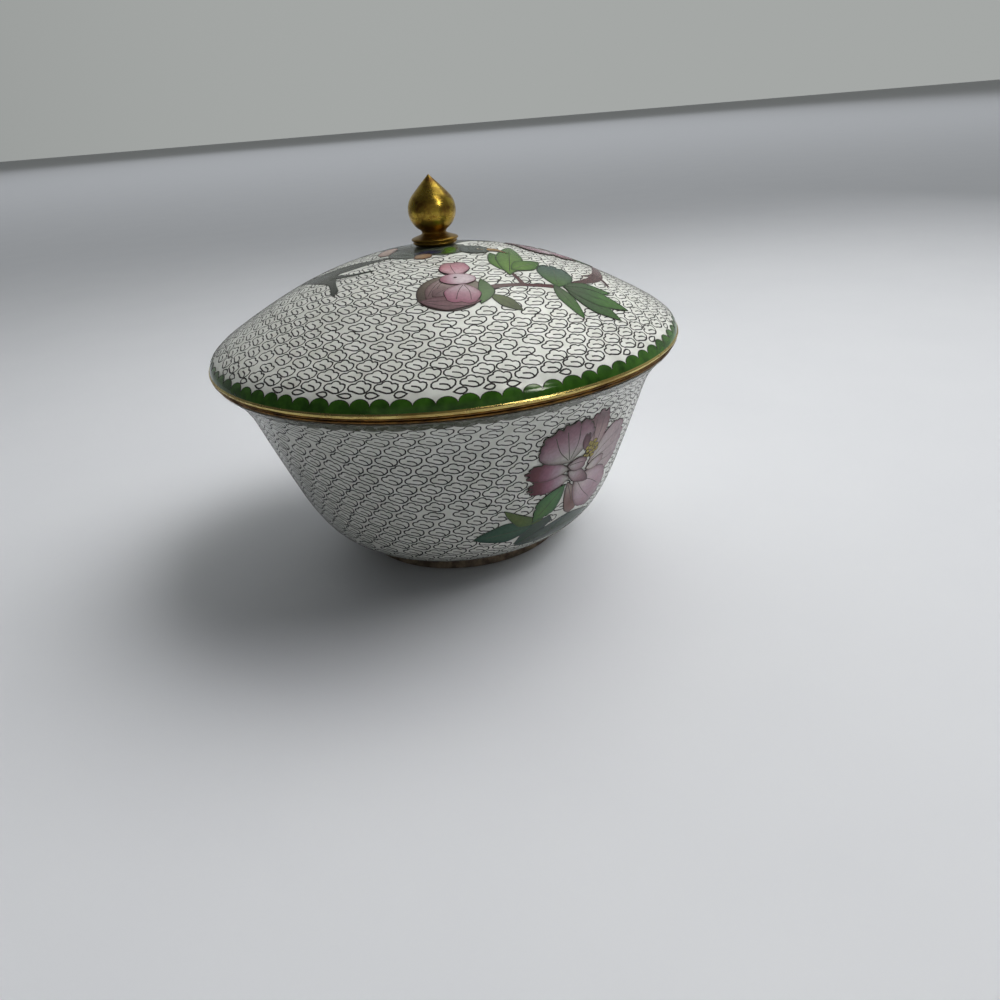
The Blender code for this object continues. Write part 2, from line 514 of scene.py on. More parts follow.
def inside(point, outline):
    """Whether a flat point lies inside a closed outline."""
    x, y = point
    odd = False
    for (x0, y0), (x1, y1) in zip(outline, outline[1:] + outline[:1]):
        if (y0 > y) != (y1 > y) and x < x0 + (y - y0) * (x1 - x0) / (y1 - y0):
            odd = not odd
    return odd


def spans(outline, margin):
    """How far an outline reaches left, right, down and up, with a margin."""
    xs, ys = [p[0] for p in outline], [p[1] for p in outline]
    return min(xs) - margin, max(xs) + margin, min(ys) - margin, max(ys) + margin


# how deep each point of a ragged edge is notched, where 1 is the deepest
NOTCHES = (
    0.0, 0.05, 0.15, 0.6, 1.0, 0.7, 0.15, 0.0, 0.0, 0.1, 0.35, 0.85, 0.5, 0.1, 0.0, 0.2, 0.65, 0.3, 0.05,
)


@dataclasses.dataclass
class Field:
    """One pool of glass inside a wire. Its tones are shaded from its start, at its heart, to its end."""

    layer: int
    runs: list
    tones: tuple
    start: tuple
    end: tuple
    rim: str = None             # the colour along its wire
    reach: float = 1.2          # how far that colour reaches in, in millimetres
    creases: tuple = ()         # the lines of its inner wires
    half: float = 0.18          # half its wire's width
    bare: bool = False          # whether it has no wire
    ragged: float = 0.0         # how deep its edge is notched

    def toward_tip(self, point):
        """How far a flat point lies from the field's heart, at 0, to its tip, at 1."""
        ax, ay = self.end[0] - self.start[0], self.end[1] - self.start[1]
        t = ((point[0] - self.start[0]) * ax + (point[1] - self.start[1]) * ay) / (ax * ax + ay * ay)
        return min(max(t, 0.0), 1.0)

    def outline(self):
        """The field's smooth outline, notched towards the tip where the petal or leaf is ragged."""
        if not self.ragged:
            return smoothed(self.runs)
        notched = []
        for i, (x, y) in enumerate(smoothed(self.runs, 0.42)):
            # the notches begin a third of the way up, and have their full depth from three quarters on
            full = min(max(self.toward_tip((x, y)) - 0.35, 0.0) / 0.4, 1.0)
            away = math.hypot(x - self.start[0], y - self.start[1])
            pull = self.ragged * full * NOTCHES[i % len(NOTCHES)] / max(away, 1.0)
            notched.append((x + (self.start[0] - x) * pull, y + (self.start[1] - y) * pull))
        return notched

    def moved(self, turn, size, x, y):
        """The same field, turned, sized and set down elsewhere on the sheet."""
        c, s = math.cos(math.radians(turn)) * size, math.sin(math.radians(turn)) * size

        def go(p):
            return x + c * p[0] - s * p[1], y + s * p[0] + c * p[1]

        return dataclasses.replace(
            self, runs=[[go(p) for p in run] for run in self.runs], start=go(self.start), end=go(self.end),
            reach=self.reach * size, creases=[[go(p) for p in line] for line in self.creases],
            ragged=self.ragged * size,
        )

    def shade(self, point, outline):
        """The glass's colour at a flat point: from its heart to its tip, then towards its rim."""
        t = self.toward_tip(point) * (len(self.tones) - 1)
        i = min(int(t), len(self.tones) - 2)
        near, far = Vector(colour(self.tones[i])), Vector(colour(self.tones[i + 1]))
        mixed = near.lerp(far, t - i)
        if self.rim:
            away = min(math.hypot(point[0] - x, point[1] - y) for x, y in outline)
            mixed = mixed.lerp(Vector(colour(self.rim)), 0.9 * math.exp(-away / self.reach))
        return mixed


def fire_fields(name, sheet, skin, fields):
    """Fills the outlined fields with shaded glass: flat faces cut into a fine grid, then set on the shell.
    Gives the outlines."""
    bm = bmesh.new()
    outlines = [field.outline() for field in fields]
    # until it is set down, a pool's height is its number in the list
    for number, outline in enumerate(outlines):
        ring = [bm.verts.new((x, y, number)) for x, y in outline]
        edges = [bm.edges.new(pair) for pair in zip(ring, ring[1:] + ring[:1])]
        bmesh.ops.contextual_create(bm, geom=edges)
    for face in bm.faces:
        if face.normal.z < 0:
            face.normal_flip()
    flat = [point for outline in outlines for point in outline]
    for axis, across in enumerate((Vector((1, 0, 0)), Vector((0, 1, 0)))):
        places = [point[axis] for point in flat]
        for cut in spread(min(places), max(places), POOL_GRID)[1:-1]:
            # a cut is a hair off the grid, so that it misses the outlines' own corners
            bmesh.ops.bisect_plane(
                bm, geom=bm.verts[:] + bm.edges[:] + bm.faces[:], dist=1e-5,
                plane_co=across * (cut + 0.013), plane_no=across,
            )
    fired = bm.verts.layers.float_color.new("fired")
    rims = [edge for edge in bm.edges if edge.is_boundary]
    for vert in bm.verts:
        number = round(vert.co.z)
        vert[fired] = fields[number].shade((vert.co.x, vert.co.y), outlines[number])
    skirt = bmesh.ops.extrude_edge_only(bm, edges=rims)["geom"]
    for edge in rims:
        edge.smooth = False
    sunk = {item for item in skirt if isinstance(item, bmesh.types.BMVert)}
    for vert in bm.verts:
        lift = POOL_SKIRT if vert in sunk else GLASS_RISE + LAYER_RISE * fields[round(vert.co.z)].layer
        vert.co = skin.place(*sheet.on(vert.co.x, vert.co.y), lift)
    bmesh.ops.triangulate(bm, faces=bm.faces, quad_method="BEAUTY", ngon_method="BEAUTY")
    for face in bm.faces:
        face.smooth = True
    piece(name, bm, [SHADED_GLASS])
    return outlines


def field_wires(sheet, fields, outlines, petals, leaves):
    """Adds the wires round the fields and along their creases to the petals' or the leaves' wires."""
    for field, outline in zip(fields, outlines):
        red, green = colour(field.tones[0])[:2]
        wires = leaves if green > red * 1.03 else petals
        lift = GLASS_RISE + LAYER_RISE * field.layer
        if not field.bare:
            wires.append(([sheet.on(*p) for p in outline], True, field.half, lift - POOL_WIRE_DROP))
        for line in field.creases:
            points = bent(line) + [tuple(line[-1])]
            wires.append(([sheet.on(*p) for p in points], False, field.half * 1.25, lift))


def stroke(points, widths):
    """The outline of a tapering stem or ribbon through points."""
    left, right = [], []
    for i, (point, wide) in enumerate(zip(points, widths)):
        a, b = Vector(points[max(i - 1, 0)]), Vector(points[min(i + 1, len(points) - 1)])
        along = (b - a).normalized()
        across = Vector((-along.y, along.x)) * wide / 2
        left.append(tuple(Vector(point) + across))
        right.append(tuple(Vector(point) - across))
    return [left[1:], [right[-1]], right[-2::-1], [left[0]]]


def oval(middle, wide, tall):
    """The outline of an oval, from its half-width and its half-height."""
    turns = [FULL * k / 12 for k in range(12)]
    return [(middle[0] + wide * math.cos(a), middle[1] + tall * math.sin(a)) for a in turns]


def petal(layer, tones, root, tip, wide, lobes=0, notch=0.6, belly=0.55, lean=0.0, veins=(), **look):
    """A petal or a leaf: two bowed sides from its root to a point, or to a tip cut into rounded lobes. It is
    widest at its belly, and lean bows it to the left. A vein at -1 follows the right side, and one at 1 the
    left side."""
    root, along = Vector(root), Vector(tip) - Vector(root)
    across = Vector((-along.y, along.x)).normalized() * wide / 2
    # where the sides end, and how wide it still is there: a lobed tip at its shoulder, a pointed one tapered
    front, shoulder, taper = 0.86, 0.78, 0.45

    def at(t, s):
        """The point t of the way to the tip and s half-widths to the left of the axis."""
        return tuple(root + along * t + across * (s + lean * math.sin(math.pi * t)))

    def on_tip(s, cut):
        """The point of a lobed tip s half-widths to the left, cut back by a share of the length."""
        return at(1 - (1 - front) * (s / shoulder) ** 2 - cut, s)

    sides = [(share * belly, math.sin(math.pi / 2 * share) ** 0.8) for share in (0.3, 0.65, 1.0)]
    end = (front, shoulder if lobes else taper)
    runs = [[at(t, s) for t, s in sides + [end]]]
    for k in range(lobes):
        crest, corner = shoulder * (1 - (2 * k + 1) / lobes), shoulder * (1 - (2 * k + 2) / lobes)
        cut = notch / along.length if k < lobes - 1 else 0.0
        runs.append([on_tip(crest, 0.0), on_tip(corner, cut)])
    if not lobes:
        runs[0].append(at(1, 0))
        sides.append(end)
    runs.append([at(t, -s) for t, s in sides[::-1]] + [at(0, 0)])
    creases = [[at(0.08, 0.1 * s), at(0.4, 0.75 * s), at(0.8, s)] for s in veins]
    return Field(layer, runs, tones, at(0.05, 0), at(0.95, 0), creases=creases, **look)


# ---------------------------------------------------------------- the clouds and the borders

# The clouds are bent from one wire each: a lobed ring whose end curls in. Half a cloud's width is 1.
CLOUD_RING = (
    (-0.83, -0.29), (-1.0, -0.11), (-0.97, 0.10), (-0.80, 0.25), (-0.46, 0.31),
    (-0.36, 0.46), (-0.16, 0.55), (0.05, 0.56), (0.28, 0.48), (0.43, 0.32),
    (0.68, 0.34), (0.93, 0.24), (0.99, 0.05), (0.90, -0.215), (0.58, -0.435),
    (0.32, -0.52), (0.04, -0.53), (-0.20, -0.46), (-0.41, -0.385), (-0.57, -0.32),
)
CLOUD_HOOK = ((0.52, -0.43), (0.45, -0.24), (0.29, -0.10), (0.0, -0.02), (-0.32, 0.025))
DROP_RING = (
    (-1.0, -0.05), (-0.62, -0.5), (-0.15, -0.9), (0.35, -1.0), (0.78, -0.7), (1.0, -0.1),
    (0.85, 0.5), (0.45, 0.85), (-0.05, 0.8), (-0.55, 0.45),
)


def after_each(row):
    """Each azimuth of a row, with the next one round the shell."""
    return zip(row, row[1:] + [row[0] + FULL])


def cloud_rows(skin, first, last, spacing, luck):
    """Rows of clouds from a shell's edge inwards. Each sits over the gaps of the one before it, and gives up
    its most crowded clouds as the shell narrows. Gives each cloud's azimuth, distance, room and stagger."""
    count = round(FULL * skin.at(first)[0] / CLOUD_PITCH)
    row = [FULL * k / count for k in range(count)]
    before, rows, along = None, [], first
    while along >= last:
        radius = skin.at(along)[0]
        if before:
            row = [(a + b) / 2 for a, b in after_each(before)]
            for _ in range(len(row) - max(6, round(FULL * radius / CLOUD_PITCH))):
                chance = CLOUD_PITCH / radius
                crowd = [
                    (row[(i + 1) % len(row)] - row[i - 1]) % FULL + luck.uniform(0, 0.5) * chance
                    for i in range(len(row))
                ]
                del row[crowd.index(min(crowd))]
            # the clouds that are left close up, a quarter of the way at a time
            for _ in range(3):
                gaps = [b - a for a, b in after_each(row)]
                row = [azimuth + 0.25 * (gaps[i] - gaps[i - 1]) for i, azimuth in enumerate(row)]
        gaps = [b - a for a, b in after_each(row)]
        clouds = []
        for i, (azimuth, gap) in enumerate(zip(row, gaps)):
            nearest = min(abs((azimuth - b + math.pi) % FULL - math.pi) for b in before) if before else 1.0
            clouds.append((azimuth, along, min(gap, gaps[i - 1]) * radius, nearest * radius / CLOUD_PITCH))
            # a gap that is still wide is filled with a small drop, which has no room of its own
            if gap * radius > 1.3 * CLOUD_PITCH:
                clouds.append((azimuth + gap / 2, along, 0.0, 0.5))
        rows.append(clouds)
        before = row
        along -= spacing
    return rows


def cloud_wires(skin, rows, covers, luck, half_width, half_height):
    """One wire for each cloud, bent by hand so that no two are the same, apart from those under a motif."""
    wires = []
    hidden_by = [(sheet, outline, *spans(outline, 4)) for sheet, outline in covers]
    for azimuth, along, room, stagger in (cloud for row in rows for cloud in row):
        azimuth += luck.uniform(-0.12, 0.12) / skin.at(along)[0]
        along += luck.uniform(-0.12, 0.12)
        wide = min(half_width, room / 2 - 0.35) * luck.uniform(0.96, 1.04)
        # a cloud that stands right above another one is lower
        tall = half_height * luck.uniform(0.95, 1.05) * (1 if stagger > 0.3 else 0.84)
        lean = math.radians(luck.uniform(-4, 4))
        radius = skin.at(along)[0]
        bend = [luck.uniform(-0.05, 0.05) for _ in range(4)]
        small = room == 0.0
        if small:
            wide, tall = luck.uniform(0.85, 1.2), luck.uniform(0.75, 1.0)

        def laid(x, y):
            """A point of the cloud's pattern, bent, sized, leaned and laid on the shell."""
            x += bend[0] * y + bend[1] * x * x
            y += bend[2] * x + bend[3] * x * x
            x, y = x * wide, y * tall
            x, y = x * math.cos(lean) - y * math.sin(lean), x * math.sin(lean) + y * math.cos(lean)
            return azimuth + x / radius, along - skin.side * y

        ring = [laid(*p) for p in (DROP_RING if small else CLOUD_RING)]
        over = []
        for sheet, outline, left, right, low, high in hidden_by:
            x, y = sheet.off(azimuth, along)
            if left < x < right and low < y < high:
                over.append((sheet, outline))
        tests = [(azimuth, along)] + ring[::2]
        hidden = sum(any(inside(sheet.off(*p), outline) for sheet, outline in over) for p in tests)
        if hidden >= 0.55 * len(tests):
            continue
        wires.append((ring, True, WIRE_HALF, 0.0))
        if not small:
            wires.append(([laid(*p) for p in CLOUD_HOOK], False, WIRE_HALF, 0.0))
    return wires


def drop_wires(skin, row, along, luck):
    """The small drops between the outermost row of clouds and the border. About one in eight is left out."""
    wires = []
    for a, b in after_each([cloud[0] for cloud in row]):
        if luck.random() < 0.12:
            continue
        wide, tall, lean = luck.uniform(1.3, 1.95), luck.uniform(0.75, 0.98), luck.uniform(-0.2, 0.2)
        hand = luck.choice((-1, 1))
        radius = skin.at(along)[0]
        azimuth = (a + b) / 2 + luck.uniform(-0.6, 0.6) / radius
        low = along + luck.uniform(-0.15, 0.15)
        ring = [
            (azimuth + hand * x * wide / radius, low - skin.side * (y * tall + lean * x))
            for x, y in DROP_RING
        ]
        wires.append((ring, True, WIRE_HALF, 0.0))
    return wires


def lobed_border(skin, cusp, crest, lobes, luck):
    """A ring of glass along a shell's edge that ends in a row of lobes, and the line of its lobes."""
    edge = skin.length - BORDER_INSET
    # points along each lobe, and bands of faces from the shell's edge up to them
    steps, bands = 9, 4
    turn = FULL / lobes
    starts = [turn * (k + luck.uniform(-0.06, 0.06)) for k in range(lobes)]
    line = []
    for start, end in after_each(starts):
        tall = luck.uniform(0.9, 1.08)
        for i in range(steps):
            swing = math.pi * i / steps
            # points crowd towards the cusps, where the line turns
            t = 0.8 * (1 - math.cos(swing)) / 2 + 0.2 * i / steps
            line.append((start + (end - start) * t, edge - cusp - (crest - cusp) * tall * math.sin(swing)))
    bm = bmesh.new()
    bmesh.ops.create_circle(bm, radius=edge, segments=len(line))
    place = dict(zip(bm.verts, line))
    for vert, (azimuth, top) in place.items():
        vert.co = (edge * math.cos(azimuth), edge * math.sin(azimuth), 0)
    ring = bm.edges[:]
    # flat bands up to the line of the lobes, and then a skirt down into the ground
    for band in range(1, bands + 2):
        skirt = band > bands
        for last in ring if skirt else ():
            last.smooth = False
        ring, pairs = grow(bm, ring)
        place = {other: place[vert] for vert, other in pairs}
        for vert, (azimuth, top) in place.items():
            along = edge + (top - edge) * min(band / bands, 1)
            vert.co = (along * math.cos(azimuth), along * math.sin(azimuth), 1 if skirt else 0)
    for vert in bm.verts:
        azimuth, along = math.atan2(vert.co.y, vert.co.x), math.hypot(vert.co.x, vert.co.y)
        vert.co = skin.place(azimuth, along, BORDER_SKIRT if vert.co.z > 0.5 else GLASS_RISE)
    bmesh.ops.recalc_face_normals(bm, faces=bm.faces)
    bm.faces.ensure_lookup_table()
    if bm.faces[0].normal.dot(level_out(bm.faces[0])) < 0:
        bmesh.ops.reverse_faces(bm, faces=bm.faces)
    for face in bm.faces:
        face.smooth = True
    return bm, line


# ---------------------------------------------------------------- the peony and its leaves, on the bowl

PINK_PETAL = ("#c6c9bd", "#ae9aa0", "#936f7c", "#754a56")
PALE_PETAL = ("#c0bdb1", "#aea0a0", "#967f82", "#6c5158")
MAROON_PETAL = ("#c3c8bb", "#b09aa3", "#956679", "#6a3640", "#4c2226")
LEAF_GREEN = ("#578650", "#4a7742", "#5e823a")
LEAF_DARK = ("#41503f", "#35493a", "#2f4a30")
LEAF_OLIVE = ("#526a36", "#5c6e36", "#6a723c")

# looks that several fields share
FOLDED = {"rim": "#54363c", "reach": 0.6, "half": 0.22}
TORN = {"notch": 1.3, "belly": 0.6, "rim": "#552a35", "reach": 0.5}

# the first four fields are the stem and the leaves below, and the rest are the flower and the leaf behind it
PEONY = [
    petal(1, LEAF_DARK, (-14, -31.5), (22.8, -28.2), 9.6, belly=0.6, lean=0.3, veins=(0,), rim="#3a484a",
          reach=1.5),
    Field(0, stroke([(-1.5, -21.5), (-8, -25), (-13.5, -31)], [3.0, 7.0, 3.0]), LEAF_DARK, (-4, -20),
          (-14, -31), rim="#3a484a"),
    petal(1, ("#456650", "#3c5e48", "#436351"), (-8.5, -22.3), (-29.5, -23.5), 8.8, belly=0.5, veins=(0,),
          rim="#274238", reach=1.2),
    petal(2, LEAF_OLIVE, (-5, -21), (-19.3, -12.7), 4.4, belly=0.5, lean=1.0, rim="#4c6338"),
    petal(2, ("#b9b3aa", "#8f7570", "#6f4a45", "#7d5a54"), (2, -8.2), (8.6, -23), 6.4, lobes=2, belly=0.75,
          veins=(0,), rim="#6d544c", reach=0.8),
    petal(3, LEAF_GREEN, (1, -8.6), (-9.2, -20.8), 8.8, belly=0.6, veins=(0,), rim="#2c5a38", ragged=0.7),
    petal(2, PALE_PETAL, (9, -3.5), (27, -0.2), 19.5, lobes=4, notch=1.0, belly=0.6, veins=(-0.5, 0, 0.45),
          rim="#7c5660", reach=0.8, ragged=0.6),
    petal(4, ("#cbc8bd", "#bcaeb0", "#9a7f86"), (8.6, -5.5), (17, -4.3), 4.2, lobes=2, rim="#8d7a74",
          reach=0.7),
    petal(3, ("#bdb2a7", "#ab9392", "#896d6f", "#57393f"), (9.8, -0.5), (8.9, 16.3), 9.2, lobes=3, notch=1.3,
          belly=0.6, veins=(-0.35, 0.3), rim="#633c46", reach=0.7, ragged=0.8),
    petal(3, ("#c6c0b8", "#c1aab1", "#a07c8a", "#744f5c"), (4.5, -7.3), (22.6, -21), 15.5, lobes=3, belly=0.6,
          veins=(-0.4, 0.3), rim="#6f4a54", ragged=0.4),
    petal(4, MAROON_PETAL, (2.4, -6.2), (-12.9, -5.8), 7.2, lobes=4, ragged=1.0, **TORN),
    petal(5, MAROON_PETAL, (1.2, -2.6), (-14, 0.4), 6.8, lobes=3, ragged=0.9, **{**TORN, "notch": 0.9}),
    petal(6, PINK_PETAL, (0.4, 0.2), (-3, 15), 18.6, lobes=5, notch=0.8, belly=0.5, veins=(-0.45, 0, 0.4),
          rim="#4f2f38", reach=0.9, ragged=0.8, half=0.22),
    petal(7, ("#8d6f76", "#6c4650", "#4f2c36"), (5.6, 2.8), (5.3, 9.2), 2.8, lobes=2, rim="#45242c",
          reach=0.7),
    petal(6, ("#c4c0ba", "#b09ca0", "#8c6c74", "#5f3c44"), (0.8, -3.4), (11.2, -10.7), 4.4, belly=0.45,
          **FOLDED),
    petal(7, ("#c4c0ba", "#b09ca0", "#9a7d85"), (0.2, -1), (7.8, -2.6), 4.8, lobes=2, veins=(0.3,), **FOLDED),
]

# the stamens fill an oval, each one the golden angle on from the one before it
STAMENS = 15
GOLDEN_TURN = math.radians(137.5)
STAMENS_MIDDLE = (8.7, 1.9)
STAMENS_SIZE = (2.7, 3.4)


def stamen_fields(layer, luck):
    """The yellow heart of the flower: small ovals of olive-yellow glass."""
    fields = []
    for k in range(STAMENS):
        away, turn = math.sqrt((k + 0.5) / STAMENS), GOLDEN_TURN * k
        x = STAMENS_MIDDLE[0] + STAMENS_SIZE[0] * away * math.cos(turn)
        y = STAMENS_MIDDLE[1] + STAMENS_SIZE[1] * away * math.sin(turn)
        wide, tall = luck.uniform(0.65, 0.95), luck.uniform(0.6, 0.85)
        ring = [(x + wide * math.cos(a), y + tall * math.sin(a)) for a in (0.4, 1.5, 2.6, 3.7, 4.8, 5.9)]
        fields.append(Field(layer, [ring], ("#b5a54e", "#857a38"), (x, y + 1), (x, y - 1), half=0.13))
    return fields


# ---------------------------------------------------------------- the bud, leaves and bird, on the lid

BUD_BODY = ("#80776a", "#62584e", "#4e443f")
BUD_MIDDLE = ("#a69792", "#836e6c", "#634c4e")
LEAF_BRIGHT = ("#68883f", "#597837", "#466630")
# grey-green leaf glass, its tones paled and greyed as painted sheen over its own green
LEAF_WITH_PAINTED_SHEEN = ("#525b48", "#445b3c", "#456c32")
TWIG = ("#4c3230", "#573637")
FEATHER = ("#585c56", "#474a45", "#3b3e39")
TAIL_TIP = ("#44473f", "#33362f")
WING = ("#5d625b", "#464b4e", "#34375a")

FOLD = {"reach": 0.5, "half": 0.16}
FINE = {"reach": 0.5, "half": 0.12}
PLUMAGE = {"reach": 0.5, "half": 0.14}
BRIGHT_EDGE = {"belly": 0.5, "veins": (0,), "rim": "#2b4f1e", "reach": 0.7, "half": 0.17}
SHEENED_LEAF_EDGE = {"veins": (0,), "rim": "#28481f", **FINE}

BUD = [
    Field(1, [oval((2.7, -40), 9.5, 8.9)], BUD_BODY, (-1, -32), (-5, -44), rim="#3f3632", reach=0.5),
    petal(2, BUD_MIDDLE, (2.6, -31.6), (-1.2, -45), 9.6, lobes=2, belly=0.6, veins=(-0.7, -0.4),
          rim="#54413f", reach=0.45, half=0.16),
    petal(3, ("#8a7473", "#5f494b"), (1.8, -38.2), (-2.4, -41.8), 4.4, veins=(0,), half=0.12),
    petal(4, ("#7b6265", "#6b4b50", "#814c58"), (-6.2, -43.6), (11, -44.8), 6.4, belly=0.5, lean=-0.35,
          veins=(-0.6, 0.35), rim="#4d3136", **FOLD),
    petal(5, ("#c0b3b4", "#a27a86", "#884b60"), (6.6, -36.4), (5.4, -46.2), 10.4, lobes=2, notch=0.9,
          belly=0.5, veins=(-0.3, 0.5), rim="#7a4254", **FOLD),
    Field(6, [oval((5.2, -33.6), 5.1, 3.1)], ("#9b6976", "#b2919a", "#c7b8bb"), (0.6, -33.5), (5, -33),
          rim="#8a5a68", reach=0.4, half=0.15),
    Field(7, [oval((4.5, -32.9), 0.5, 0.35)], ("#4a3038", "#3c262c"), (4, -33), (5, -33), bare=True),
    petal(5, ("#ccb0b4", "#bb949b", "#b6868f", "#a08688"), (5, -31.4), (4.2, -22.6), 8.8, lobes=2, belly=0.5,
          veins=(0.2,), rim="#74394d", **FOLD),
    petal(2, ("#4c7030", "#3c5a28"), (10.8, -46.2), (11.6, -33.4), 4.6, lean=-0.7, rim="#2f4a22", reach=0.6),
]

# the twig's parts come first, and the leaves follow
CLUSTER = [
    Field(0, stroke([(13.6, -38), (20, -36), (27, -34.6), (33, -33.2)], [2.2, 1.6, 1.5, 2.0]), TWIG,
          (14, -37), (33, -33), half=0.12),
    Field(0, stroke([(20.6, -27.6), (22.2, -30.6), (24, -35.2)], [1.2, 1.1, 1.4]), TWIG, (20, -28), (24, -35),
          half=0.12),
    Field(0, stroke([(37.5, -30.2), (40.4, -27.4), (43.9, -24), (47, -20.4), (49.2, -16.4), (50.8, -11.6),
                     (52, -5), (52.4, 2), (51.4, 8), (48, 12)],
                    [1.2, 1.7, 2.2, 2.9, 3.6, 3.6, 2.8, 2.2, 1.8, 1.4]),
          TWIG, (38, -30), (52, 5), half=0.12),
    Field(0, stroke([(49.4, -13.6), (47, -16.6), (44.2, -19)], [2.2, 1.4, 0.4]), TWIG, (49, -14), (45, -19),
          half=0.12),
    Field(0, stroke([(50.6, -14.4), (52, -17.4), (53, -20.8)], [2.0, 1.3, 0.4]), TWIG, (50, -14), (52, -20),
          half=0.12),
    petal(2, LEAF_BRIGHT, (20.4, -30.2), (22.7, -4.3), 8.2, **BRIGHT_EDGE),
    # this leaf and the next two, like the last two, have tones paled and greyed as painted sheen over their
    # own green
    petal(1, ("#53713a", "#4f634d", "#42544f"), (34.4, -33.2), (34.8, -17.6), 11, lobes=3, notch=1.2,
          belly=0.6, veins=(0,), rim="#22402a", **FINE),
    petal(1, ("#5a6052", "#506b40", "#4b7333"), (33.2, -32), (40.3, -47.5), 5.2, belly=0.45, **SHEENED_LEAF_EDGE),
    petal(4, (*LEAF_WITH_PAINTED_SHEEN, "#42642e"), (36, -32.4), (56.2, -35.2), 9, **SHEENED_LEAF_EDGE),
    petal(1, ("#55692c", "#4a5526", "#3d4520"), (13.6, -41.4), (22.4, -48.3), 4.6, veins=(0,), rim="#2f3a1c",
          **FINE),
    petal(3, LEAF_BRIGHT, (21.4, -26.5), (30.4, -17), 6.8, **BRIGHT_EDGE),
    petal(1, LEAF_BRIGHT, (20.6, -28.5), (16, -13.4), 6.6, **BRIGHT_EDGE),
    petal(2, LEAF_WITH_PAINTED_SHEEN, (36.4, -31.4), (52, -26.8), 6.6, **SHEENED_LEAF_EDGE),
    petal(3, (*LEAF_WITH_PAINTED_SHEEN[:2], "#42642e"), (36.8, -33.6), (52.4, -43.2), 7.6, belly=0.6, **SHEENED_LEAF_EDGE),
]

